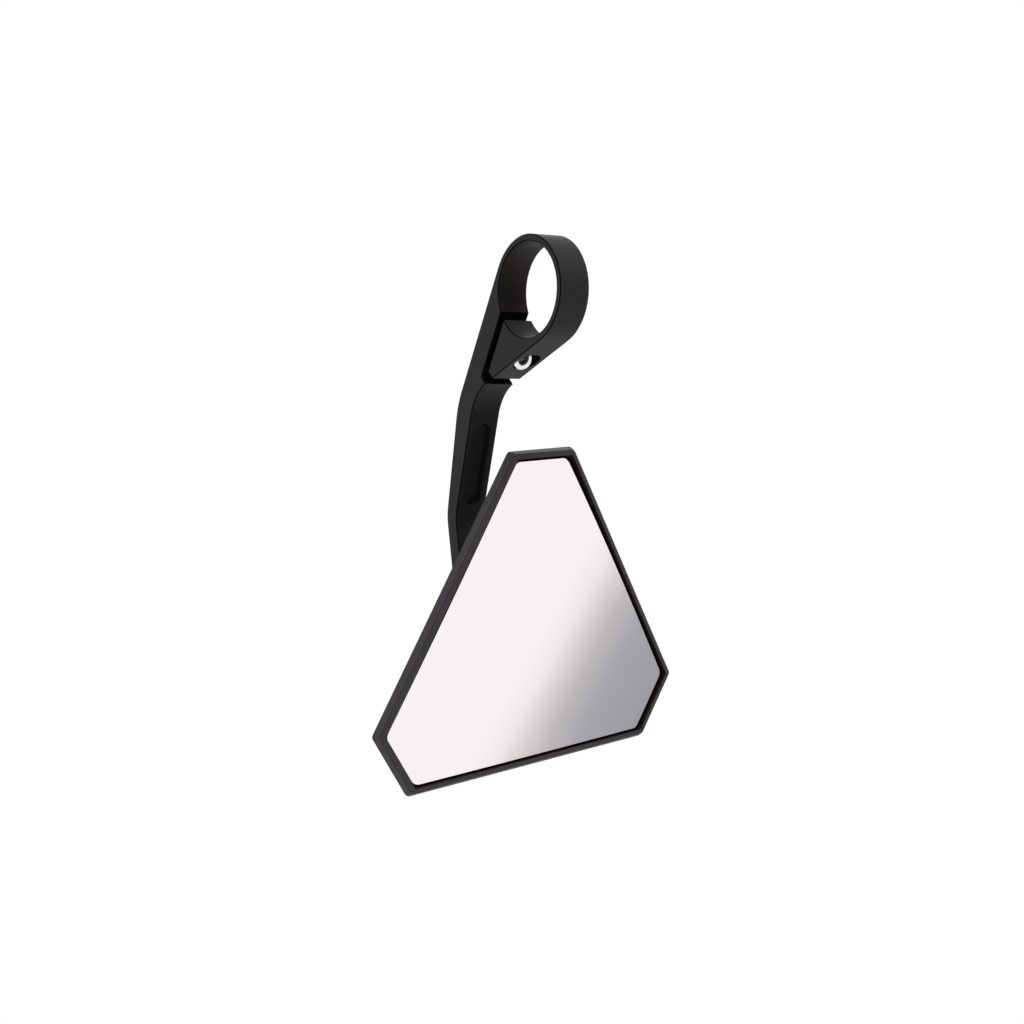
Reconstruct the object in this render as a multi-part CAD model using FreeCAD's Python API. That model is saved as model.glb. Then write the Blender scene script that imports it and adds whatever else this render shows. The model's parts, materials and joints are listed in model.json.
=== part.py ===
import FreeCAD, Part
import math
import os

os.makedirs("parts", exist_ok=True)
V = FreeCAD.Vector

# Frame: origin on the clamp bore's axis at mid width, X along the bore, Z up, the mirror faces -Y.
# All sizes in millimetres, all angles in degrees.

# Clamp ring and the plate that it is milled from
bore_radius = 17.5
ring_wall = 2.6
arm_width = 13.1
edge_chamfer = 0.4

# Arm, given by the runs of its outer edge and how far each leans from the vertical
beam_lean_angle = 27.8
beam_length = 56.6
blade_lean_angle = 9.7
blade_length = 43.4
strap_lean_angle = -9.8
stud_drop = 47.25
blade_root = 10.0
strap_thickness = 6.0
beam_bend_radius = 35.0
strap_bend_radius = 20.0
shoulder_radius = 18.0

# Clamp jaw: sloping outer face and the slit that parts it from the arm
jaw_slope_angle = 24.0
slit_centre = 9.25
slit_width = 3.0
slit_depth = 38.7
slit_exit_angle = 45.0
slit_exit_width = 4.4
slit_corner_radius = 1.6
jaw_tip_radius = 0.7

# Milled pocket in the blade's face towards the mirror
pocket_width = 8.2
pocket_start = 6.0
pocket_length = 32.5
pocket_depth = 1.8

# Clamp screw, a socket head cap screw across the slit
screw_drop = 26.9
screw_radius = 2.5
screw_length = 16.0
screw_head_radius = 4.25
screw_head_height = 5.0
screw_socket_flats = 4.0
screw_socket_depth = 2.5
screw_head_offset = -2.4
screw_head_chamfer = 0.4
screw_point_chamfer = 0.75
screw_hole_clearance = 0.25
screw_seat_clearance = 0.4
thread_clearance = 0.03
cut_overrun = 1.0

# Ball stud that carries the mirror head, with its washer and nut
ball_radius = 7.0
ball_reach = 18.2
stud_neck_radius = 2.75
stud_flare_length = 4.0
stud_collar_flats = 10.0
stud_collar_height = 4.5
stud_thread_radius = 3.0
stud_thread_end = 1.2
stud_hole_clearance = 0.2
stud_washer_radius = 6.0
stud_washer_thickness = 1.6
stud_nut_flats = 10.0
stud_nut_height = 5.0
nut_corner_chamfer = 0.5

# Head's rest pose on the ball: tilt up and swing towards -X from the stud axis, then turn in its plane
rest_tilt_angle = -5.8
rest_swing_angle = 16.8
rest_turn_angle = -29.0

# Glass outline, a triangle with cut corners that is the same on both sides of its long axis
glass_base_half = 55.9
glass_wing_half = 66.85
glass_wing_rise = 17.3
glass_height = 86.4
glass_apex_half = 11.25
glass_corner_radius = 2.8
glass_thickness = 2.0
glass_curve_radius = 1200.0
glass_crown_from_base = 34.5
hub_from_base = 28.6

# Levels along the head's axis, measured from the ball's centre towards the front
lip_level = 13.6
ridge_level = 8.8
back_level = 2.5
glass_crown_level = 12.4
ledge_level = 8.0
floor_level = 4.9
boss_level = 8.2

# Housing outline, as distances outside the glass edge, and how far its rim is set towards the base
glass_gap = 0.8
lip_chamfer = 0.4
lip_reach = 2.6
ridge_reach = 3.95
back_reach = -7.0
ledge_reach = -4.0
floor_reach = -9.5
housing_corner_radius = 2.0
rim_shift = 0.55

# Ball socket in the housing, with its two loose liner shells
liner_clearance = 0.05
liner_wall = 1.4
mouth_angle = 50.0
seat_top_angle = 94.0
cup_hole_angle = 11.0
cup_rim_angle = 64.0
hub_depth = 7.0
hub_rim_radius = 10.5
hub_flare_overrun = 0.5
boss_radius = 17.5
spring_pocket_radius = 11.5
spring_pocket_level = 5.5

# Coned spring washer, retaining plate and its screws
spring_inner_radius = 5.0
spring_outer_radius = 11.2
spring_thickness = 0.6
plate_inner_radius = 9.4
plate_outer_radius = 17.3
plate_thickness = 1.5
plate_screw_circle = 14.6
plate_screw_count = 3
plate_screw_start_angle = 60.0
plate_screw_radius = 1.25
plate_screw_length = 5.0
plate_screw_head_radius = 2.35
plate_screw_head_height = 1.1
plate_screw_flats = 1.5
plate_screw_socket_depth = 0.8
plate_hole_clearance = 0.1
seating_gap = 0.02

# Sizes that follow from those above
ring_radius = bore_radius + ring_wall
half_width = arm_width / 2
liner_inner_radius = ball_radius + liner_clearance
liner_outer_radius = liner_inner_radius + liner_wall
socket_radius = liner_outer_radius + liner_clearance


def lean(angle):
    """Direction that runs down and leans towards +Y by an angle from the vertical."""
    turn = math.radians(angle)
    return V(0, math.sin(turn), -math.cos(turn))


def mirror_side(angle):
    """Direction square to a leaning run, towards the mirror's side."""
    turn = math.radians(angle)
    return V(0, -math.cos(turn), -math.sin(turn))


def crossing(point, direction, other_point, other_direction):
    """Point where two lines in the YZ plane cross."""
    gap = other_point - point
    slant = direction.y * other_direction.z - direction.z * other_direction.y
    reach = (gap.y * other_direction.z - gap.z * other_direction.y) / slant
    return point + direction * reach


def rounded_corner(before, corner, after, radius):
    """Two tangent points and the middle of the arc that rounds a corner."""
    back = (before - corner).normalize()
    ahead = (after - corner).normalize()
    half = back.getAngle(ahead) / 2
    middle = (back + ahead).normalize()
    run = radius / math.tan(half)
    depth = radius / math.sin(half) - radius
    return corner + back * run, corner + middle * depth, corner + ahead * run


def rounded_chain(points, radii):
    """Edges along open points, with each inner corner rounded by its radius."""
    edges = []
    start = points[0]
    for i in range(1, len(points) - 1):
        if radii[i - 1] > 0:
            first, middle, last = rounded_corner(points[i - 1], points[i], points[i + 1], radii[i - 1])
            edges.append(Part.makeLine(start, first))
            edges.append(Part.Arc(first, middle, last).toShape())
            start = last
        else:
            edges.append(Part.makeLine(start, points[i]))
            start = points[i]
    edges.append(Part.makeLine(start, points[-1]))
    return edges


def rounded_loop(points, radius):
    """Closed wire round convex points with every corner rounded alike."""
    count = len(points)
    after = points[1:] + points[:1]
    corners = [rounded_corner(points[i - 1], points[i], after[i], radius) for i in range(count)]
    edges = []
    for i in range(count):
        first, middle, last = corners[i]
        edges.append(Part.Arc(first, middle, last).toShape())
        edges.append(Part.makeLine(last, corners[(i + 1) % count][0]))
    return Part.Wire(edges)


def prism(wire, sweep):
    """Solid swept straight from a flat closed wire."""
    return Part.Face(wire).extrude(sweep)


def turned(points):
    """Solid turned about the local Z axis from points of radius and level."""
    wire = Part.makePolygon([V(r, 0, z) for r, z in points] + [V(points[0][0], 0, points[0][1])])
    return Part.Face(wire).revolve(V(0, 0, 0), V(0, 0, 1), 360)


def disc(radius, low, high):
    """Cylinder about the local Z axis between two levels."""
    return Part.makeCylinder(radius, high - low, V(0, 0, low))


def hexagon_bar(flats, low, high):
    """Six-sided bar about the local Z axis, by its width across flats."""
    corner = flats / math.sqrt(3)
    turns = [math.radians(60 * i) for i in range(7)]
    wire = Part.makePolygon([V(corner * math.cos(t), corner * math.sin(t), low) for t in turns])
    return prism(wire, V(0, 0, high - low))


def polar(radius, angle):
    """Point in the local XZ plane at an angle from the front axis."""
    turn = math.radians(angle)
    return V(radius * math.sin(turn), 0, radius * math.cos(turn))


def shell_ring(inner, outer, top_angle, low_angle):
    """Ring cut from a ball-shaped shell between two angles from the front axis."""
    middle = (top_angle + low_angle) / 2
    edges = [
        Part.Arc(polar(inner, top_angle), polar(inner, middle), polar(inner, low_angle)).toShape(),
        Part.makeLine(polar(inner, low_angle), polar(outer, low_angle)),
        Part.Arc(polar(outer, low_angle), polar(outer, middle), polar(outer, top_angle)).toShape(),
        Part.makeLine(polar(outer, top_angle), polar(inner, top_angle)),
    ]
    return Part.Face(Part.Wire(edges)).revolve(V(0, 0, 0), V(0, 0, 1), 360)


# Points of the arm's outline
beam_run = lean(beam_lean_angle)
blade_run = lean(blade_lean_angle)
strap_run = lean(strap_lean_angle)
beam_side = mirror_side(beam_lean_angle)
strap_side = mirror_side(strap_lean_angle)
ring_top_tangent = beam_side * -ring_radius
beam_bend = ring_top_tangent + beam_run * beam_length
strap_bend = beam_bend + blade_run * blade_length
strap_end = strap_bend + strap_run * (stud_drop + half_width)
blade_top = beam_bend + mirror_side(blade_lean_angle) * blade_root
blade_foot = strap_bend + mirror_side(blade_lean_angle) * strap_thickness
blade_face_run = (blade_foot - blade_top).normalize()
strap_face_end = strap_end + strap_side * strap_thickness
strap_face_bend = crossing(blade_top, blade_face_run, strap_face_end, strap_run)
jaw_turn = math.radians(jaw_slope_angle)
jaw_run = V(0, math.cos(jaw_turn), -math.sin(jaw_turn))
jaw_tangent = V(0, -math.sin(jaw_turn), -math.cos(jaw_turn)) * ring_radius
shoulder = crossing(jaw_tangent, jaw_run, blade_top, blade_face_run)

# Places of the stud, the ball and the clamp screw
stud_foot = strap_bend + strap_run * stud_drop + strap_side * strap_thickness
ball_centre = stud_foot + strap_side * ball_reach
screw_axis = beam_side * -1
screw_line = beam_run * screw_drop
screw_seat = screw_head_offset + screw_head_height


def placed(shape, front, right, origin):
    """Shape moved so that local Z points to the front and local X to the right."""
    up = front.cross(right)
    frame = FreeCAD.Matrix(
        right.x, up.x, front.x, origin.x,
        right.y, up.y, front.y, origin.y,
        right.z, up.z, front.z, origin.z,
        0, 0, 0, 1)
    moved = shape.copy()
    moved.Placement = FreeCAD.Placement(frame)
    return moved


def on_stud(shape):
    """Shape in the stud's frame: origin at the ball, Z along the stud towards the mirror."""
    return placed(shape, strap_side, V(1, 0, 0), ball_centre)


def on_screw(shape):
    """Shape in the clamp screw's frame: origin abreast of the bore's axis, Z from the tip to the head."""
    return placed(shape, screw_axis * -1, V(1, 0, 0), screw_line)


# Turns that carry the head from straight on the stud to its rest pose
tilt = FreeCAD.Rotation(V(1, 0, 0), strap_lean_angle - rest_tilt_angle)
swing = FreeCAD.Rotation(V(0, 0, 1), -rest_swing_angle)
cup_front = tilt.multVec(V(0, -1, 0))
head_front = tilt.multiply(swing).multVec(V(0, -1, 0))
head_level = tilt.multiply(swing).multVec(V(1, 0, 0))
head_long = FreeCAD.Rotation(head_front, rest_turn_angle).multVec(head_level)


def on_cup(shape):
    """Shape in the front cup's frame, which has the head's tilt but not its swing."""
    return placed(shape, cup_front, V(1, 0, 0), ball_centre)


def on_head(shape):
    """Shape in the head's frame: origin at the ball, Z out of the glass, X from base to apex."""
    return placed(shape, head_front, head_long, ball_centre)


def glass_corners(reach, level):
    """Corners of the glass outline moved outwards by a reach, at a level of the head."""
    half_points = [(0, glass_base_half), (glass_wing_rise, glass_wing_half), (glass_height, glass_apex_half)]
    outline = [(p, -q) for p, q in half_points] + [(p, q) for p, q in reversed(half_points)]
    points = [V(p - hub_from_base, q, 0) for p, q in outline]
    count = len(points)
    sides = []
    for i in range(count):
        run = (points[(i + 1) % count] - points[i]).normalize()
        sides.append((points[i] + V(run.y, -run.x, 0) * reach, run))
    corners = []
    for i in range(count):
        point, run = sides[i - 1]
        other_point, other_run = sides[i]
        gap = other_point - point
        slant = run.x * other_run.y - run.y * other_run.x
        along = (gap.x * other_run.y - gap.y * other_run.x) / slant
        corners.append(point + run * along + V(0, 0, level))
    return corners


def head_section(reach, level, radius):
    """Rounded six-sided wire at a level of the head."""
    return rounded_loop(glass_corners(reach, level), radius)


def crown_ball(radius_change):
    """Ball concentric with the glass's curved front, turned so that no pole or seam crosses the glass."""
    depth = glass_crown_level - glass_curve_radius
    centre = V(glass_crown_from_base - hub_from_base, 0, depth)
    return Part.makeSphere(glass_curve_radius + radius_change, centre, V(-1, 0, 0))


def make_clamp_arm():
    """One milled piece: split ring, jaw, beam, blade and the strap that holds the stud."""
    outline = [ring_top_tangent, beam_bend, strap_bend, strap_end, strap_face_end, strap_face_bend,
               shoulder, jaw_tangent]
    radii = [beam_bend_radius, strap_bend_radius, 0, 0, strap_bend_radius, shoulder_radius]
    ring_middle = (ring_top_tangent + jaw_tangent).normalize() * -ring_radius
    edges = rounded_chain(outline, radii)
    edges.append(Part.Arc(jaw_tangent, ring_middle, ring_top_tangent).toShape())
    blank = prism(Part.Wire(edges), V(arm_width, 0, 0))
    blank.translate(V(-half_width, 0, 0))
    bore = Part.makeCylinder(bore_radius, arm_width, V(-half_width, 0, 0), V(1, 0, 0))
    arm = blank.cut(bore).cut(make_slit())
    arm = arm.makeChamfer(edge_chamfer, [edge for edge in arm.Edges if on_side_face(edge)])
    for cutter in (make_screw_hole(), make_pocket(), make_stud_hole(), make_end_trim()):
        arm = arm.cut(cutter)
    return arm


def on_side_face(edge):
    """Whether an edge lies in one of the two flat sides of the arm."""
    return abs(edge.BoundBox.Center.x) > half_width - edge_chamfer


def make_slit():
    """Cut between the jaw and the beam, which turns out under the jaw's tip."""
    turn = math.radians(slit_exit_angle)
    exit_run = V(0, -math.cos(turn), -math.sin(turn))
    arm_side = V(0, math.sin(turn), -math.cos(turn)) * (slit_exit_width / 2)
    corner = screw_axis * slit_centre + beam_run * slit_depth
    near = screw_axis * (slit_centre - slit_width / 2)
    far = screw_axis * (slit_centre + slit_width / 2)
    jaw_corner = crossing(near, beam_run, corner - arm_side, exit_run)
    arm_corner = crossing(far, beam_run, corner + arm_side, exit_run)
    out = exit_run * slit_depth
    points = [near, jaw_corner, jaw_corner + out, arm_corner + out, arm_corner, far]
    edges = rounded_chain(points, [jaw_tip_radius, 0, 0, slit_corner_radius])
    edges.append(Part.makeLine(far, near))
    slit = prism(Part.Wire(edges), V(arm_width, 0, 0))
    slit.translate(V(-half_width, 0, 0))
    return slit


def make_screw_hole():
    """Counterbore for the head, clearance hole in the jaw and tapped hole through the beam."""
    head_room = disc(screw_head_radius + screw_seat_clearance, -screw_seat, ring_radius)
    through = disc(screw_radius + screw_hole_clearance, -slit_centre, -screw_seat)
    tapped = disc(screw_radius + thread_clearance, -ring_radius * 2, -slit_centre)
    return on_screw(head_room.fuse([through, tapped]))


def make_pocket():
    """Round-ended pocket along the middle of the blade's face."""
    radius = pocket_width / 2
    inward = V(0, -blade_face_run.z, blade_face_run.y)
    first = blade_top + blade_face_run * (pocket_start + radius) - inward * pocket_depth
    last = first + blade_face_run * (pocket_length - pocket_width)
    sweep = inward * (pocket_depth * 2)
    across = V(radius, 0, 0)
    edges = [
        Part.makeLine(first + across, last + across),
        Part.Arc(last + across, last + blade_face_run * radius, last - across).toShape(),
        Part.makeLine(last - across, first - across),
        Part.Arc(first - across, first - blade_face_run * radius, first + across).toShape(),
    ]
    return prism(Part.Wire(edges), sweep)


def make_stud_hole():
    """Plain hole through the strap for the stud's thread."""
    low = -ball_reach - strap_thickness - cut_overrun
    return on_stud(disc(stud_thread_radius + stud_hole_clearance, low, -ball_reach + cut_overrun))


def make_end_trim():
    """What is milled off the strap's square end to leave it half round about the stud."""
    low = -ball_reach - strap_thickness - cut_overrun
    depth = strap_thickness + 2 * cut_overrun
    block = Part.makeBox(arm_width * 2, arm_width, depth, V(-arm_width, -arm_width, low))
    return on_stud(block.cut(disc(half_width, low, low + depth)))


def make_clamp_screw():
    """Socket head cap screw, head up the jaw's face and tip in the beam."""
    top = -screw_head_offset
    seat = -screw_seat
    tip = seat - screw_length
    head = turned([
        (0, seat), (screw_head_radius, seat), (screw_head_radius, top - screw_head_chamfer),
        (screw_head_radius - screw_head_chamfer, top), (0, top)])
    shank = turned([
        (0, tip), (screw_radius - screw_point_chamfer, tip), (screw_radius, tip + screw_point_chamfer),
        (screw_radius, seat), (0, seat)])
    socket = hexagon_bar(screw_socket_flats, top - screw_socket_depth, top)
    return on_screw(head.fuse(shank).cut(socket))


def make_ball_stud():
    """Ball, waisted neck, hexagon collar that seats on the strap, and thread."""
    collar_top = -ball_reach + stud_collar_height
    thread_end = -ball_reach - strap_thickness - stud_washer_thickness - stud_nut_height - stud_thread_end
    flare = collar_top + stud_flare_length
    neck = turned([
        (0, 0), (stud_neck_radius, 0), (stud_neck_radius, flare),
        (stud_collar_flats / 2 - nut_corner_chamfer, collar_top), (0, collar_top)])
    collar = hexagon_bar(stud_collar_flats, -ball_reach, collar_top)
    thread = turned([
        (0, thread_end), (stud_thread_radius - nut_corner_chamfer, thread_end),
        (stud_thread_radius, thread_end + nut_corner_chamfer), (stud_thread_radius, -ball_reach),
        (0, -ball_reach)])
    return on_stud(Part.makeSphere(ball_radius).fuse([neck, collar, thread]))


def make_stud_washer():
    """Flat washer on the strap's outer face."""
    top = -ball_reach - strap_thickness
    low = top - stud_washer_thickness
    hole = disc(stud_thread_radius + stud_hole_clearance, low, top)
    return on_stud(disc(stud_washer_radius, low, top).cut(hole))


def make_stud_nut():
    """Hexagon nut with its outer corners turned off."""
    top = -ball_reach - strap_thickness - stud_washer_thickness
    low = top - stud_nut_height
    corner = stud_nut_flats / math.sqrt(3)
    envelope = turned([
        (0, low), (stud_nut_flats / 2, low), (corner, low + nut_corner_chamfer), (corner, top), (0, top)])
    nut = hexagon_bar(stud_nut_flats, low, top).common(envelope)
    return on_stud(nut.cut(disc(stud_thread_radius + thread_clearance, low, top)))


def make_front_ball_cup():
    """Loose moulded shell on the front of the ball."""
    return on_cup(shell_ring(liner_inner_radius, liner_outer_radius, cup_hole_angle, cup_rim_angle))


def make_rear_ball_seat():
    """Loose moulded ring behind the ball, in the housing's socket."""
    return on_head(shell_ring(liner_inner_radius, liner_outer_radius, seat_top_angle, 180 - mouth_angle))


def make_mirror_housing():
    """Milled head: bevelled rim, faceted back, flared hub with the ball socket, and the glass recess."""
    rim_reach = lip_reach + (ridge_reach - lip_reach) * lip_chamfer / (lip_level - ridge_level)
    levels = [
        (back_reach, back_level), (ridge_reach, ridge_level),
        (rim_reach, lip_level - lip_chamfer), (lip_reach - lip_chamfer, lip_level)]
    sections = [head_section(reach, level, housing_corner_radius) for reach, level in levels]
    body = Part.makeLoft(sections, True, True)
    body.translate(V(-rim_shift, 0, 0))
    recess_wire = head_section(glass_gap, ledge_level, glass_corner_radius + glass_gap)
    recess = prism(recess_wire, V(0, 0, lip_level - ledge_level + lip_chamfer))
    hollow = Part.makeLoft([
        head_section(floor_reach, floor_level, housing_corner_radius),
        head_section(ledge_reach, ledge_level, housing_corner_radius)], True, True)
    housing = body.cut(hollow).cut(recess)
    housing = housing.fuse([make_hub(), disc(boss_radius, back_level, boss_level)])
    socket = Part.makeSphere(socket_radius)
    mouth_width = hub_depth * 2 * math.tan(math.radians(mouth_angle))
    mouth = Part.makeCone(0, mouth_width, hub_depth * 2, V(0, 0, 0), V(0, 0, -1))
    throat = disc(socket_radius, 0, spring_pocket_level)
    spring_pocket = disc(spring_pocket_radius, spring_pocket_level, boss_level)
    cutters = [socket, mouth, throat, spring_pocket]
    low = boss_level - plate_screw_length
    cutters += around_plate(disc(plate_screw_radius + thread_clearance, low, boss_level))
    for cutter in cutters:
        housing = housing.cut(cutter)
    return on_head(housing.removeSplitter())


def make_hub():
    """Flared boss on the housing's back, round the ball."""
    height = back_level + hub_depth
    flare = height + hub_flare_overrun
    centre = V(hub_rim_radius + flare, 0, -hub_depth)
    half = math.sqrt(0.5) * flare
    rim = V(hub_rim_radius, 0, -hub_depth)
    top = centre + V(0, 0, flare)
    edges = [
        Part.Arc(rim, centre + V(-half, 0, half), top).toShape(),
        Part.makeLine(top, V(0, 0, top.z)),
        Part.makeLine(V(0, 0, top.z), V(0, 0, rim.z)),
        Part.makeLine(V(0, 0, rim.z), rim),
    ]
    return Part.Face(Part.Wire(edges)).revolve(V(0, 0, 0), V(0, 0, 1), 360)


def around_plate(shape):
    """Copies of a shape, evenly spaced on the retaining plate's screw circle."""
    copies = []
    for i in range(plate_screw_count):
        copy = shape.copy()
        copy.translate(V(plate_screw_circle, 0, 0))
        copy.rotate(V(0, 0, 0), V(0, 0, 1), plate_screw_start_angle + 360 * i / plate_screw_count)
        copies.append(copy)
    return copies


def make_spring_washer():
    """Coned washer that presses the front cup on to the ball from under the plate."""
    contact = math.sqrt((liner_outer_radius + liner_clearance) ** 2 - spring_inner_radius ** 2)
    high = boss_level - seating_gap
    return on_head(turned([
        (spring_inner_radius, contact), (spring_outer_radius, high - spring_thickness),
        (spring_outer_radius, high), (spring_inner_radius, contact + spring_thickness)]))


def make_retaining_plate():
    """Flat ring that closes the socket, with countersunk holes."""
    top = boss_level + plate_thickness
    plate = disc(plate_outer_radius, boss_level, top).cut(disc(plate_inner_radius, boss_level, top))
    radius = plate_screw_radius + plate_hole_clearance
    head = plate_screw_head_radius + plate_hole_clearance
    hole = turned([
        (0, boss_level), (radius, boss_level), (radius, top - plate_screw_head_height),
        (head, top), (0, top)])
    return on_head(plate.cut(around_plate(hole)))


def make_retaining_screws():
    """Countersunk screws through the retaining plate into the housing."""
    top = boss_level + plate_thickness
    tip = boss_level - plate_screw_length + plate_thickness
    screw = turned([
        (0, tip), (plate_screw_radius, tip), (plate_screw_radius, top - plate_screw_head_height),
        (plate_screw_head_radius, top), (0, top)])
    socket = hexagon_bar(plate_screw_flats, top - plate_screw_socket_depth, top)
    return on_head(Part.makeCompound(around_plate(screw.cut(socket))))


def make_glass_seal():
    """Foam frame on the housing's ledge, shaped to the back of the glass."""
    height = glass_crown_level - ledge_level
    outer = prism(head_section(0, ledge_level, glass_corner_radius), V(0, 0, height))
    inner = prism(head_section(ledge_reach, ledge_level, housing_corner_radius), V(0, 0, height))
    return on_head(outer.cut(inner).common(crown_ball(-glass_thickness - seating_gap)))


def make_mirror_glass():
    """Convex mirror glass of even thickness."""
    height = glass_crown_level - ledge_level
    blank = prism(head_section(0, ledge_level, glass_corner_radius), V(0, 0, height))
    return on_head(blank.common(crown_ball(0)).cut(crown_ball(-glass_thickness)))


makers = {
    "clamp_arm": make_clamp_arm,
    "clamp_screw": make_clamp_screw,
    "ball_stud": make_ball_stud,
    "stud_washer": make_stud_washer,
    "stud_nut": make_stud_nut,
    "front_ball_cup": make_front_ball_cup,
    "rear_ball_seat": make_rear_ball_seat,
    "mirror_housing": make_mirror_housing,
    "spring_washer": make_spring_washer,
    "retaining_plate": make_retaining_plate,
    "retaining_screws": make_retaining_screws,
    "glass_seal": make_glass_seal,
    "mirror_glass": make_mirror_glass,
}

for name, maker in makers.items():
    maker().exportStep(f"parts/{name}.step")
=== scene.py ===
import json
import math

import bmesh
import bpy
from mathutils import Matrix, Vector


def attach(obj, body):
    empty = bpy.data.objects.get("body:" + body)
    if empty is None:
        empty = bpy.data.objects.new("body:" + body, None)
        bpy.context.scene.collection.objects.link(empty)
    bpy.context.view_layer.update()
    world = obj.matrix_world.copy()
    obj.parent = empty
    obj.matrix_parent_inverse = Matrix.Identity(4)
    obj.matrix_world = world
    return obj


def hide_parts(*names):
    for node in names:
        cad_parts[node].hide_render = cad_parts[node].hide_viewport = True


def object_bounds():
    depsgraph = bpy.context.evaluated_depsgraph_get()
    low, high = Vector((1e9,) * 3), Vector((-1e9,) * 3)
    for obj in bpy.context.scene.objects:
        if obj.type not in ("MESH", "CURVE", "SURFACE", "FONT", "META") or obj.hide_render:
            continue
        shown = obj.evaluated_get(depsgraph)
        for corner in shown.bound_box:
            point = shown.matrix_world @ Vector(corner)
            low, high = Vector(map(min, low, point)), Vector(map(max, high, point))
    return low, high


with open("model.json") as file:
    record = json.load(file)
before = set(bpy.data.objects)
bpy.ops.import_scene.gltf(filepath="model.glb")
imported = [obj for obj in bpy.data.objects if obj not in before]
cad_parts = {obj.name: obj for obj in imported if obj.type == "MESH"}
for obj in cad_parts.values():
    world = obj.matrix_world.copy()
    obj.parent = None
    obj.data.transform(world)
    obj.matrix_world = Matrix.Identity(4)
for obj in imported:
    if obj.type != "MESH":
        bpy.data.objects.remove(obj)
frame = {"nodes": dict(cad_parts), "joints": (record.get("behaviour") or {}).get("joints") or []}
cad_low, cad_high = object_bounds()

# Places that the pieces and finishes are set out from, in metres and radians
mm = 0.001
quarter_turn = math.pi / 2
tilt_joint, swing_joint, spin_joint = frame["joints"]
ball_centre = Vector(tilt_joint["pos_m"])
glass_facing = Vector(spin_joint["axis"])
head_level = Vector(swing_joint["axis"]).cross(glass_facing)
head_turn = math.radians(-29)
head_long = Matrix.Rotation(head_turn, 3, glass_facing) @ head_level
clamp_lean = math.radians(27.8)
strap_lean = math.radians(9.8)
cap_head_middle = (0, 12.546 * mm, -23.795 * mm)
clamp_screw_place = (
    Matrix.Translation(cap_head_middle) @ Matrix.Rotation(quarter_turn + clamp_lean, 4, "X")
)
stud_place = Matrix.Translation(ball_centre) @ Matrix.Rotation(quarter_turn - strap_lean, 4, "X")

# Sizes of the cap screw, along its own axis from the middle of the head
cap_head_radius = 4.25 * mm
cap_head_top = 2.4 * mm
cap_head_seat = -2.6 * mm
cap_head_round = 0.55 * mm
cap_round_steps = 4
cap_seat_chamfer = 0.2 * mm
cap_socket_flats = 4 * mm
cap_socket_depth = 2.5 * mm
cap_socket_point = 0.6 * mm
cap_socket_shade = (-1.4 * mm, -1.0 * mm)
cap_mouth_chamfer = 0.25 * mm
cap_neck_share = 0.8
cap_thread_radius = 2.49 * mm
cap_thread_pitch = 0.8 * mm
cap_screw_tip = -18.6 * mm

# Sizes of the ball stud, along its own axis from the ball's centre
stud_ball_radius = 7 * mm
stud_ball_rings = 24
stud_neck_radius = 2.75 * mm
stud_collar_flats = 10 * mm
stud_collar_low = -18.2 * mm
stud_collar_high = -13.7 * mm
stud_collar_bevel = 0.3 * mm
stud_flare_length = 4 * mm
stud_flare_width = 1.7 * mm
stud_flare_steps = 5
stud_thread_radius = 2.99 * mm
stud_thread_pitch = 1 * mm
stud_thread_end = -32 * mm

# A thread's tooth, and its start below the cut, as shares of its pitch. The odd lead keeps the screwed corners
# off the level of the cut. The run-in is how far the thread reaches into the head or collar.
thread_depth = 0.6
thread_flank = 0.375
thread_flat = 0.125
thread_lead = 1.007
thread_spare_turns = 2
thread_run_in = 0.2 * mm

# Sizes of the arm that its finish and its painted shade follow
arm_half_width = 6.55 * mm
arm_chamfer = 0.4 * mm
bore_radius = 17.5 * mm
counterbore_radius = cap_head_radius + 0.45 * mm
counterbore_fade = 0.1 * mm
counterbore_foot = (-6 * mm, -5 * mm)
slit_centre = 9.25 * mm
slit_width = 3 * mm
slit_start = 8 * mm
slit_end = 40 * mm
slit_end_fade = 1 * mm
slit_corner = Vector((0, 26.23 * mm, -29.92 * mm))
slit_exit_lean = math.radians(45)
slit_exit_width = 4.4 * mm
slit_exit_fade = (1 * mm, 7 * mm)

# Levels of the housing's lip and of the ledge inside it, from the ball's centre along the way the glass faces
lip_level = 13.6 * mm
lip_chamfer = 0.4 * mm
# Strength of the painted dark line on the lip's chamfer
lip_chamfer_shade = 0.5
lip_wall_fade = (0.02 * mm, 0.06 * mm)
ledge_level = 8 * mm
ledge_fade = 0.3 * mm

# Half of the glass's outline, as places along the head from the base and across it, and the glass's curve
hub_from_base = 28.6 * mm
glass_base = ball_centre - head_long * hub_from_base
glass_outline = ((0, 55.9 * mm), (17.3 * mm, 66.85 * mm), (86.4 * mm, 11.25 * mm))
glass_length = glass_outline[-1][0]
glass_gap = 0.8 * mm
glass_thickness = 2 * mm
glass_curve_radius = 1200 * mm
glass_crown_from_base = 34.5 * mm
glass_crown_level = 12.4 * mm
glass_crown = glass_base + head_long * glass_crown_from_base + glass_facing * glass_crown_level
glass_curve_centre = glass_crown - glass_facing * glass_curve_radius

# Corners round a turned piece and steps round a thread, and the angle up to which an edge is shaded smooth
turned_corners = 48
smooth_angle = math.radians(32)

# Distances within which places count as one, when corners are picked, merged or cut
pick_slack = 0.01 * mm
merge_slack = 0.001 * mm
cut_slack = 0.0001 * mm

# Casts of red, green and blue
violet = (1.03, 0.94, 1.03)
brown = (1.4, 0.97, 0.86)
steel_blue = (0.97, 0.99, 1.06)
ivory = (1.012, 1, 0.985)
rose = (1.025, 0.98, 0.995)


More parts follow.
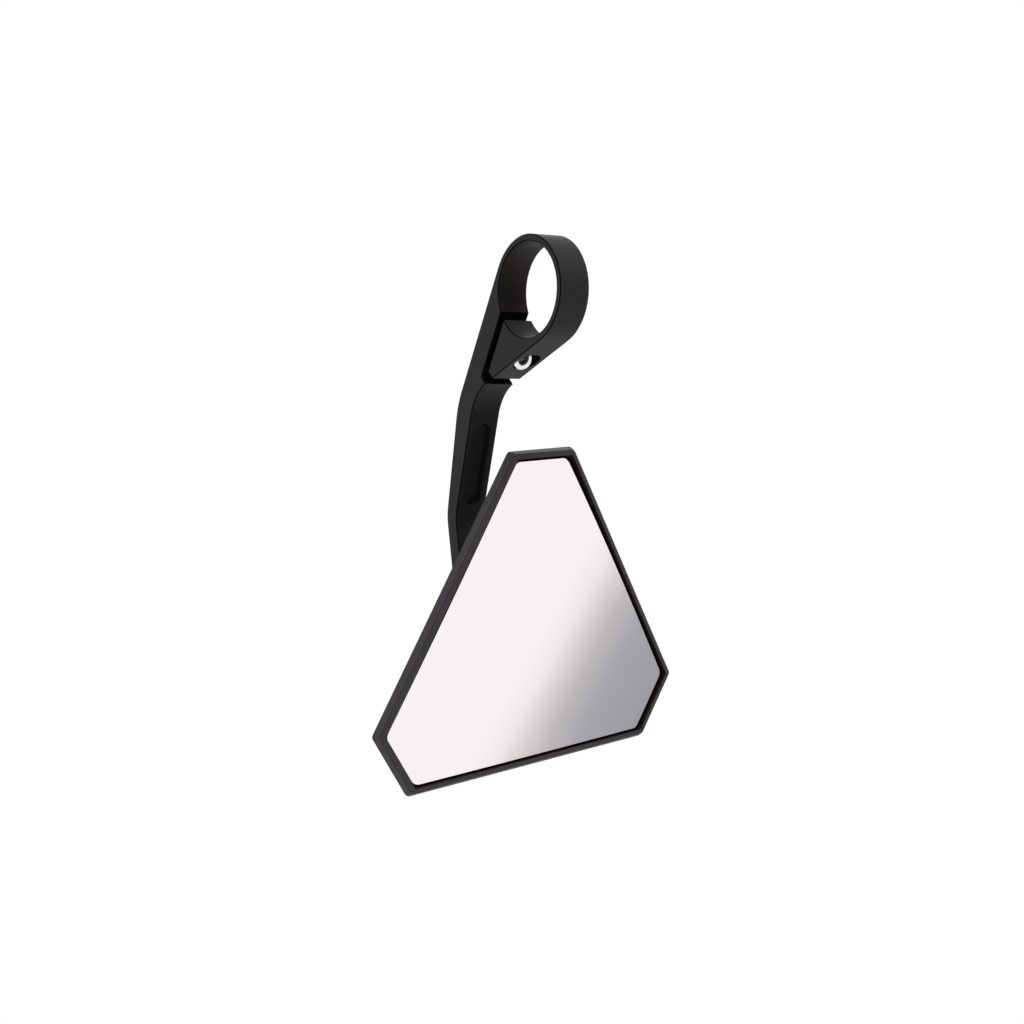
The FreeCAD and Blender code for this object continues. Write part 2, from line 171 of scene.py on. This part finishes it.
class Wire:
    """One output of a shader node. Arithmetic on wires adds Math nodes to the finish that they belong to."""

    def __init__(self, finish, output):
        self.finish = finish
        self.output = output

    def maths(self, operation, *terms):
        return self.finish.node("Math", {"operation": operation}, dict(enumerate(terms)))

    def __add__(self, other):
        return self.maths("ADD", self, other)

    def __sub__(self, other):
        return self.maths("SUBTRACT", self, other)

    def __rsub__(self, other):
        return self.maths("SUBTRACT", other, self)

    def __mul__(self, other):
        return self.maths("MULTIPLY", self, other)

    __radd__ = __add__
    __rmul__ = __mul__

    def function(self, operation):
        return self.maths(operation, self)

    def or_more(self, other):
        return self.maths("MAXIMUM", self, other)

    def rise(self, low, high):
        """Goes smoothly from 0 to 1 while the wire goes from low to high."""
        settings = {"interpolation_type": "SMOOTHSTEP"}
        return self.finish.node("MapRange", settings, {"Value": self, "From Min": low, "From Max": high})


class Finish:
    """The shader nodes of one material or of the world."""

    def __init__(self, tree):
        self.tree = tree
        tree.nodes.clear()

    def node(self, kind, settings=None, sockets=None, output=0):
        """Adds a node, makes its settings, then sets or links its sockets, and gives back one output."""
        made = self.tree.nodes.new("ShaderNode" + kind)
        for name, value in (settings or {}).items():
            if name == "stops":
                stops = made.color_ramp.elements
                while len(stops) < len(value):
                    stops.new(0.5)
                for stop, (place, colour) in zip(stops, value):
                    stop.position = place
                    stop.color = colour
            else:
                setattr(made, name, value)
        for name, value in (sockets or {}).items():
            if isinstance(value, Wire):
                self.tree.links.new(value.output, made.inputs[name])
            else:
                made.inputs[name].default_value = value
        return Wire(self, made.outputs[output]) if made.outputs else None

    def place(self):
        return self.node("TexCoord", output="Object")

    def noise(self, scale, detail=2, roughness=0.5):
        sockets = {"Vector": self.place(), "Scale": scale, "Detail": detail, "Roughness": roughness}
        return self.node("TexNoise", None, sockets)

    def mix(self, amount, first, second):
        return self.node("Mix", {"data_type": "RGBA"}, {0: amount, 6: first, 7: second}, 2)

    def dot(self, vector, direction):
        return self.node("VectorMath", {"operation": "DOT_PRODUCT"}, {0: vector, 1: direction}, "Value")

    def along(self, direction, start=(0, 0, 0)):
        """Distance of the surface from a place, along a direction."""
        offset = self.node("VectorMath", {"operation": "SUBTRACT"}, {0: self.place(), 1: start})
        return self.dot(offset, direction)

    def distance(self, start):
        """Distance of the surface from a place."""
        return self.node("VectorMath", {"operation": "DISTANCE"}, {0: self.place(), 1: start}, "Value")

    def rays(self, *kinds):
        """Is 1 for the kinds of ray that are named."""
        named = self.node("LightPath", output=kinds[0])
        for kind in kinds[1:]:
            named = named.or_more(self.node("LightPath", output=kind))
        return named

    def bump(self, height, strength, depth):
        return self.node("Bump", None, {"Height": height, "Strength": strength, "Distance": depth})

    def principled(self, sockets):
        return self.node("BsdfPrincipled", None, sockets)

    def blend(self, amount, first, second):
        """Goes from the first shader to the second."""
        return self.node("MixShader", None, {0: amount, 1: first, 2: second})

    def close(self, shader):
        """Ends a material with its shader."""
        self.node("OutputMaterial", None, {"Surface": shader})


def surface(name):
    """A new material, and the finish that its nodes are added to."""
    material = bpy.data.materials.new(name)
    material.use_nodes = True
    return material, Finish(material.node_tree)


def tint(level, cast=(1, 1, 1)):
    """A colour near grey, with a cast in red, green and blue."""
    red, green, blue = cast
    return (level * red, level * green, level * blue, 1)


def black_anodised(name, pale, shade_masks):
    """Bead-blasted aluminium, dyed black.

    Its two masks say where it is smoother and painted darker as shade, and where near-black painted shade
    covers it.
    """
    material, finish = surface(name)
    grain = finish.noise(scale=5200, detail=3, roughness=0.65)
    dye = finish.noise(scale=70, detail=3)
    # Painted shade: the first mask makes places smoother and paints them darker and browner, the second lays
    # near-black shade
    smoothed_and_shaded, shade_mask = shade_masks(finish)
    blasted = finish.mix(dye, tint(pale * 0.85, violet), tint(pale * 1.1, violet))
    speckled = finish.mix(grain.rise(0.56, 0.74) * 0.4, blasted, tint(pale * 1.9, violet))
    satin = finish.principled({
        "Base Color": finish.mix(smoothed_and_shaded, speckled, tint(pale * 0.5, brown)),
        "Roughness": 0.52 + dye * 0.06 + grain * 0.06 - smoothed_and_shaded * 0.08,
        "Specular IOR Level": 0.14,
        "Normal": finish.bump(grain * (1 - smoothed_and_shaded), strength=0.16, depth=0.02 * mm),
    })
    # Near-black painted shade for the slit, the counterbore, the recess wall and the chamfer lines, which lie
    # in shade
    painted_shade_black = finish.principled({
        "Base Color": finish.mix(dye, tint(pale * 0.12, brown), tint(pale * 0.2, brown)),
        "Roughness": 0.8 + grain * 0.1,
        "Specular IOR Level": 0.02,
    })
    finish.close(finish.blend(shade_mask, satin, painted_shade_black))
    return material


def chamfer_band(distance, edge, width):
    """Is 1 on a chamfer that ends at an edge, with soft borders inside it."""
    border = 0.2
    inner = distance.rise(edge - width, edge - width * (1 - border))
    outer = distance.rise(edge - width * border, edge)
    return inner * (1 - outer)


# A slit's walls are half its width from its middle. Its painted shade mask starts to fade just outside them.
wall_cover = 0.51
wall_fade = 0.54


def between_walls(off_middle, width):
    """Is 1 in a slit and on its walls."""
    return 1 - off_middle.function("ABSOLUTE").rise(width * wall_cover, width * wall_fade)


def arm_shade_masks(finish):
    """The bore is smoother and painted darker as shade. The chamfers, the slit and the screw's counterbore get
    near-black painted shade.
    """
    across = finish.along((1, 0, 0)).function("ABSOLUTE")
    # A painted dark line along the arm's chamfers, standing for the shade that falls on them
    chamfer = chamfer_band(across, arm_half_width, arm_chamfer)
    out_y = finish.along((0, 1, 0))
    out_z = finish.along((0, 0, 1))
    from_bore = (out_y * out_y + out_z * out_z).function("SQRT")
    # The bore is smoother, and painted darker as shade
    bored = 1 - from_bore.rise(bore_radius, bore_radius + arm_chamfer)
    axial, radius = turned_about(finish, clamp_screw_place)
    # Painted shade in the screw's counterbore
    counterbore_shade = (1 - radius.rise(counterbore_radius, counterbore_radius + counterbore_fade)) \
        * axial.rise(*counterbore_foot)
    down = finish.along((0, math.sin(clamp_lean), -math.cos(clamp_lean)))
    # Painted shade in the slit
    slit_shade = between_walls(axial + slit_centre, slit_width) \
        * down.rise(slit_start, slit_start + slit_end_fade) \
        * (1 - down.rise(slit_end, slit_end + slit_end_fade))
    lean_sine, lean_cosine = math.sin(slit_exit_lean), math.cos(slit_exit_lean)
    out = finish.along((0, -lean_cosine, -lean_sine), slit_corner)
    off_exit = finish.along((0, lean_sine, -lean_cosine), slit_corner)
    # Painted shade in the slit's exit run, fading out towards its open end
    exit_shade = between_walls(off_exit, slit_exit_width) \
        * axial.rise(-slit_centre - slit_width * wall_fade, -slit_centre - slit_width * wall_cover) \
        * (1 - out.rise(*slit_exit_fade))
    return bored, chamfer.or_more(counterbore_shade).or_more(slit_shade).or_more(exit_shade)


def lip_shade_masks(finish):
    """The chamfer round the housing's lip is smoother, with a painted dark line at half strength. The wall
    inside the lip gets near-black painted shade.
    """
    level = finish.along(glass_facing, ball_centre)
    # The lip's chamfer is smoother, with a painted dark line at half strength
    chamfer = chamfer_band(level, lip_level, lip_chamfer)
    along = finish.along(head_long, glass_base)
    across = finish.along(head_long.cross(glass_facing), glass_base).function("ABSOLUTE")
    off_glass = (0 - along).or_more(along - glass_length)
    for (near, near_half), (far, far_half) in zip(glass_outline, glass_outline[1:]):
        run = Vector((far - near, far_half - near_half)).normalized()
        off_glass = off_glass.or_more((across - near_half) * run.x - (along - near) * run.y)
    fade_start, fade_end = lip_wall_fade
    # Painted near-black shade on the recess wall inside the lip, down to the ledge
    wall = (1 - off_glass.rise(glass_gap + fade_start, glass_gap + fade_end)) \
        * level.rise(ledge_level - ledge_fade, ledge_level)
    return chamfer * lip_chamfer_shade, wall


def turned_about(finish, axis_place):
    """Distances along and out from the axis of a turned piece."""
    inverse = axis_place.inverted()
    axial = finish.along(inverse.row[2].to_3d(), axis_place.translation)
    out_x = finish.along(inverse.row[0].to_3d(), axis_place.translation)
    out_y = finish.along(inverse.row[1].to_3d(), axis_place.translation)
    return axial, (out_x * out_x + out_y * out_y).function("SQRT")


def turned_metal(name, level, axis_place, ring_pitch, roughness, socket_radius=None):
    """Bare metal with turning rings round its axis and fine scratches, and painted shade inside its socket if
    it has one.
    """
    material, finish = surface(name)
    axial, radius = turned_about(finish, axis_place)
    rings = ((radius + axial) * (2 * math.pi / ring_pitch)).function("SINE")
    stain = finish.noise(scale=450, detail=4)
    colour = finish.mix(stain, tint(level), tint(level * 0.85))
    # Painted shade darkens the inside of the socket
    if socket_radius:
        socket_edge = socket_radius * 1.06
        socket = (1 - radius.rise(socket_radius, socket_edge)) * axial.rise(*cap_socket_shade)
        colour = finish.mix(socket, colour, tint(0.26, rose))
    finish.close(finish.principled({
        "Base Color": colour,
        "Metallic": 1.0,
        "Roughness": roughness + stain * 0.12,
        "Normal": finish.bump(rings * 0.5 + finish.noise(scale=3000), strength=0.12, depth=0.012 * mm),
    }))
    return material


def rolled_steel(name):
    """Blued spring steel with a rolled grain."""
    material, finish = surface(name)
    rolled = finish.noise(scale=1400, detail=3)
    finish.close(finish.principled({
        "Base Color": finish.mix(rolled, tint(0.2, steel_blue), tint(0.32, steel_blue)),
        "Metallic": 1.0,
        "Roughness": 0.3 + rolled * 0.15,
        "Normal": finish.bump(rolled, strength=0.1, depth=0.01 * mm),
    }))
    return material


def moulded_liner(name):
    """Pale slippery plastic with a faint mould texture."""
    material, finish = surface(name)
    cloud = finish.noise(scale=160)
    finish.close(finish.principled({
        "Base Color": finish.mix(cloud, tint(0.62, ivory), tint(0.7, ivory)),
        "Roughness": 0.42 + cloud * 0.1,
        "Normal": finish.bump(finish.noise(scale=4000), strength=0.08, depth=0.01 * mm),
    }))
    return material


def bedding_foam(name):
    """Black closed-cell foam."""
    material, finish = surface(name)
    cells = finish.node("TexVoronoi", {"feature": "F1"}, {"Vector": finish.place(), "Scale": 3600}, "Distance")
    finish.close(finish.principled({
        "Base Color": finish.mix(cells, tint(0.012), tint(0.03)),
        "Roughness": 0.85 + cells * 0.1,
        "Normal": finish.bump(cells, strength=0.5, depth=0.05 * mm),
    }))
    return material


def silvered_glass(name):
    """Mirror glass: silvered face with faint wiping marks, and a ground edge and back."""
    material, finish = surface(name)
    silver_start = glass_curve_radius - glass_thickness * 0.6
    silver_full = glass_curve_radius - glass_thickness * 0.4
    silvered = finish.distance(glass_curve_centre).rise(silver_start, silver_full)
    wiped = finish.noise(scale=55, detail=4, roughness=0.6)
    dust = finish.noise(scale=2600).rise(0.7, 0.8)
    silver = finish.mix(wiped, tint(0.908, rose), tint(0.896, rose))
    bottle_green = (0.09, 0.12, 0.11, 1)
    finish.close(finish.principled({
        "Base Color": finish.mix(silvered, bottle_green, silver),
        "Metallic": silvered,
        "Roughness": 0.3 - silvered * 0.29 + wiped * 0.012 + dust * 0.01,
    }))
    return material


# Modelling in edit mode, as by hand
def begin(name):
    """Leaves nothing selected, adds an empty mesh, and opens it in edit mode."""
    bpy.ops.object.select_all(action="DESELECT")
    bpy.ops.mesh.primitive_plane_add(size=mm)
    piece = bpy.context.object
    piece.name = name
    bpy.ops.object.mode_set(mode="EDIT")
    bpy.ops.mesh.delete(type="VERT")
    return piece


def pick(piece, wanted):
    """Selects the corners whose place passes the test, with the edges and faces between them."""
    mesh = bmesh.from_edit_mesh(piece.data)
    for corner in mesh.verts:
        corner.select = wanted(corner.co)
    mesh.select_flush_mode()
    bmesh.update_edit_mesh(piece.data)


def extrude(along, widen=1.0, level=0.0):
    """Extrudes what is selected along the axis, and widens its far end about the axis."""
    bpy.ops.mesh.extrude_region_move(TRANSFORM_OT_translate={"value": (0, 0, along)})
    bpy.ops.transform.resize(value=(widen, widen, 1), center_override=(0, 0, level))


def turn(profile):
    """Draws up a turned wall from rings of radius and level."""
    radius, level = profile[0]
    bpy.ops.mesh.primitive_circle_add(vertices=turned_corners, radius=radius, location=(0, 0, level))
    for next_radius, next_level in profile[1:]:
        extrude(next_level - level, next_radius / radius, next_level)
        radius, level = next_radius, next_level


def thread(radius, pitch, low, high):
    """Adds a threaded rod between two levels: one tooth, screwed up the axis and cut off at both ends."""
    depth = thread_depth * pitch
    flank = thread_flank * pitch
    flat = thread_flat * pitch
    start = low - thread_lead * pitch
    turns = math.ceil((high - low) / pitch) + thread_spare_turns
    rod = begin("threaded_shank")
    bpy.ops.mesh.primitive_plane_add(size=flat, location=(radius - depth, 0, start))
    bpy.ops.mesh.merge(type="CENTER")
    for out, up in ((depth, flank), (0, flat), (-depth, flank), (0, flat)):
        bpy.ops.mesh.extrude_region_move(TRANSFORM_OT_translate={"value": (out, 0, up)})
    bpy.ops.object.mode_set(mode="OBJECT")
    screw = rod.modifiers.new("screw", "SCREW")
    screw.screw_offset = pitch
    screw.iterations = turns
    screw.steps = screw.render_steps = turned_corners
    bpy.ops.object.modifier_apply(modifier=screw.name)
    bpy.ops.object.mode_set(mode="EDIT")
    bpy.ops.mesh.select_all(action="SELECT")
    bpy.ops.mesh.remove_doubles(threshold=merge_slack)
    for level, facing in ((low, 1), (high, -1)):
        bpy.ops.mesh.select_all(action="SELECT")
        bpy.ops.mesh.bisect(
            plane_co=(0, 0, level), plane_no=(0, 0, facing), use_fill=True, clear_inner=True,
            threshold=cut_slack,
        )
    bpy.ops.object.mode_set(mode="OBJECT")
    return rod


def complete(piece, place, body, material, node, others):
    """Joins the piece to its other shells, sets it in its place, and lets it stand for its node."""
    bpy.ops.object.select_all(action="DESELECT")
    for shell in (piece, *others):
        shell.select_set(True)
    bpy.context.view_layer.objects.active = piece
    bpy.ops.object.join()
    bpy.ops.object.mode_set(mode="EDIT")
    bpy.ops.mesh.select_all(action="SELECT")
    bpy.ops.mesh.remove_doubles(threshold=merge_slack)
    bpy.ops.mesh.normals_make_consistent(inside=False)
    bpy.ops.object.mode_set(mode="OBJECT")
    bpy.ops.object.shade_smooth_by_angle(angle=smooth_angle)
    piece.matrix_world = place
    bpy.ops.object.transform_apply()
    piece.data.materials.clear()
    piece.data.materials.append(material)
    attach(piece, body)
    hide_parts(node)


def hexagon_corner(flats):
    """Distance of a hexagon's corners from its middle, from the distance across its flats."""
    return flats / math.sqrt(3)


def cap_screw(material):
    """Socket head cap screw: rounded head with a six-sided socket, and a threaded shank."""
    head = begin("cap_screw")
    mouth = hexagon_corner(cap_socket_flats) + cap_mouth_chamfer
    socket_top = cap_head_top - cap_mouth_chamfer
    angles = [quarter_turn * step / cap_round_steps for step in range(1, cap_round_steps + 1)]
    turn([(mouth, cap_head_top), (cap_head_radius - cap_head_round, cap_head_top)] + [
        (
            cap_head_radius - cap_head_round * (1 - math.sin(angle)),
            cap_head_top - cap_head_round * (1 - math.cos(angle)),
        )
        for angle in angles
    ] + [
        (cap_head_radius, cap_head_seat + cap_seat_chamfer),
        (cap_head_radius - cap_seat_chamfer, cap_head_seat),
        (cap_thread_radius * cap_neck_share, cap_head_seat),
    ])
    bpy.ops.mesh.edge_face_add()
    # The socket's hexagon gets as many corners as the turned mouth, so that the two bridge evenly
    bpy.ops.mesh.primitive_circle_add(
        vertices=6, radius=hexagon_corner(cap_socket_flats), location=(0, 0, socket_top),
    )
    bpy.ops.mesh.subdivide(number_cuts=turned_corners // 6 - 1)
    pick(head, lambda place: place.z > socket_top - pick_slack and place.to_2d().length < mouth + pick_slack)
    bpy.ops.mesh.bridge_edge_loops()
    pick(head, lambda place: abs(place.z - socket_top) < pick_slack and place.to_2d().length < mouth)
    extrude(cap_mouth_chamfer - cap_socket_depth)
    extrude(-cap_socket_point)
    bpy.ops.mesh.merge(type="CENTER")
    bpy.ops.object.mode_set(mode="OBJECT")
    shank = thread(cap_thread_radius, cap_thread_pitch, cap_screw_tip, cap_head_seat + thread_run_in)
    complete(head, clamp_screw_place, "arm", material, "clamp_screw", [shank])


def threaded_ball_stud(material):
    """Ball, neck and six-sided collar turned in one, with a thread behind the collar."""
    ball = begin("threaded_ball_stud")
    ball_arc = math.pi - math.asin(stud_neck_radius / stud_ball_radius)
    angles = [ball_arc - step * ball_arc / stud_ball_rings for step in range(stud_ball_rings)]
    flare = [step / stud_flare_steps for step in range(stud_flare_steps, -1, -1)]
    turn([
        (stud_neck_radius + stud_flare_width * part * part, stud_collar_high + stud_flare_length * (1 - part))
        for part in flare
    ] + [
        (stud_ball_radius * math.sin(angle), stud_ball_radius * math.cos(angle)) for angle in angles
    ])
    bpy.ops.mesh.edge_face_add()
    pick(ball, lambda place: abs(place.z - stud_collar_high) < pick_slack)
    bpy.ops.mesh.edge_face_add()
    bpy.ops.object.mode_set(mode="OBJECT")
    collar = begin("collar")
    bpy.ops.mesh.primitive_circle_add(
        vertices=6, radius=hexagon_corner(stud_collar_flats), location=(0, 0, stud_collar_low),
        fill_type="NGON",
    )
    extrude(stud_collar_high - stud_collar_low)
    bpy.ops.mesh.select_all(action="SELECT")
    bpy.ops.mesh.bevel(offset=stud_collar_bevel, segments=2)
    bpy.ops.object.mode_set(mode="OBJECT")
    shank = thread(stud_thread_radius, stud_thread_pitch, stud_thread_end, stud_collar_low + thread_run_in)
    complete(ball, stud_place, "arm", material, "ball_stud", [collar, shank])


stainless = turned_metal(
    "turned_stainless", level=0.93, axis_place=clamp_screw_place, ring_pitch=0.16 * mm, roughness=0.12,
    socket_radius=2.3 * mm,
)
stud_steel = turned_metal(
    "dark_stud_steel", level=0.16, axis_place=stud_place, ring_pitch=0.2 * mm, roughness=0.28,
)
spring_steel = rolled_steel("blued_spring_steel")
liner = moulded_liner("moulded_ball_liner")
node_finishes = {
    "clamp_arm": black_anodised("black_anodised_arm", pale=0.023, shade_masks=arm_shade_masks),
    "mirror_housing": black_anodised("black_anodised_housing", pale=0.047, shade_masks=lip_shade_masks),
    "clamp_screw": stainless,
    "retaining_screws": stainless,
    "ball_stud": stud_steel,
    "stud_washer": stud_steel,
    "stud_nut": stud_steel,
    "spring_washer": spring_steel,
    "retaining_plate": spring_steel,
    "front_ball_cup": liner,
    "rear_ball_seat": liner,
    "glass_seal": bedding_foam("black_bedding_foam"),
    "mirror_glass": silvered_glass("silvered_mirror_glass"),
}
for node, material in node_finishes.items():
    for slot in frame["nodes"][node].material_slots:
        slot.material = material

cap_screw(stainless)
threaded_ball_stud(stud_steel)

# Floor: a round white table well below the part, plain white at its edge, with some shade in its middle
floor_drop = 0.24
floor_radius = 0.5
floor_corners = 96
floor_shade = 0.15
floor_shade_start = floor_radius * 0.45
floor_shade_end = floor_radius * 0.9
bpy.ops.object.select_all(action="DESELECT")
bpy.ops.mesh.primitive_circle_add(
    vertices=floor_corners, radius=floor_radius, fill_type="NGON", location=(0, 0, cad_low.z - floor_drop),
)
floor = bpy.context.object
floor.name = "floor"
floor_material, finish = surface("white_floor")
seen = finish.rays("Is Camera Ray", "Is Glossy Ray", "Is Transmission Ray")
lit = finish.node("BsdfDiffuse", None, {"Color": tint(0.84)})
bright = finish.node("Emission", None, {"Color": tint(1.0), "Strength": 1.0})
towards_edge = finish.distance((0, 0, 0)).rise(floor_shade_start, floor_shade_end)
finish.close(finish.blend(seen * (1 - floor_shade + towards_edge * floor_shade), lit, bright))
floor.data.materials.append(floor_material)

# World: white to the eye and in reflections, with one dim side to the right of the front, and a soft light
world = bpy.data.worlds.new("studio")
bpy.context.scene.world = world
world.use_nodes = True
finish = Finish(world.node_tree)
toward = finish.node("TexCoord", output="Generated")
dim_axis = (0.848, 0, -0.53)
front_fade = (0.0, 0.35)
floor_fade = (-0.55, -0.15)
aside = finish.dot(toward, dim_axis)
front = finish.dot(toward, (0, -1, 0)).rise(*front_fade)
above_floor = finish.dot(toward, (0, 0, 1)).rise(*floor_fade)
white = tint(1.0)
dim_side = finish.node("ValToRGB", {"stops": [
    (0.036, white),
    (0.06, tint(0.92, ivory)),
    (0.08, tint(0.72, ivory)),
    (0.1, tint(0.545)),
    (0.13, tint(0.425, steel_blue)),
    (0.18, tint(0.365, steel_blue)),
    (0.4, tint(0.4)),
    (0.6, tint(0.8)),
]}, {"Fac": aside})
reflected = finish.mix(above_floor, white, finish.mix(front, white, dim_side))
soft_light = tint(0.12)
seen_white = finish.mix(finish.rays("Is Camera Ray", "Is Transmission Ray"), soft_light, white)
colour = finish.mix(finish.rays("Is Glossy Ray"), seen_white, reflected)
background = finish.node("Background", None, {"Color": colour, "Strength": 1.0})
finish.node("OutputWorld", None, {"Surface": background})


def lamp(name, place, power, width, mirrored=True):
    """A square soft light, turned to the middle of the part, that shows in reflections or not."""
    light = bpy.data.lights.new(name, "AREA")
    light.energy = power
    light.size = width
    stand = bpy.data.objects.new(name, light)
    bpy.context.scene.collection.objects.link(stand)
    stand.visible_glossy = mirrored
    stand.location = place
    stand.rotation_euler = ((cad_low + cad_high) / 2 - Vector(place)).to_track_quat("-Z", "Y").to_euler()


lamp("key_light", place=(0.0, -0.55, 1.2), power=14.0, width=0.5)
lamp("side_light", place=(-1.1, 0.1, -0.3), power=4.0, width=0.8)
lamp("low_light", place=(0.1, -0.42, -0.36), power=0.9, width=0.15, mirrored=False)
lamp("back_light", place=(0.5, 1.1, 0.8), power=4.0, width=0.8)
lamp("far_light", place=(1.1, 0.45, 0.1), power=5.0, width=0.8)

# Camera at the photograph's place
camera = bpy.data.cameras.new("camera")
camera.lens = 70.3125
camera.sensor_width = 36
camera_aim = Vector((0.5893, 0.8069, -0.0397))
tripod = bpy.data.objects.new("camera", camera)
bpy.context.scene.collection.objects.link(tripod)
tripod.location = (-0.43798, -0.58181, -0.05158)
tripod.rotation_euler = camera_aim.to_track_quat("-Z", "Y").to_euler()
bpy.context.scene.camera = tripod
bpy.context.scene.view_settings.view_transform = "Standard"
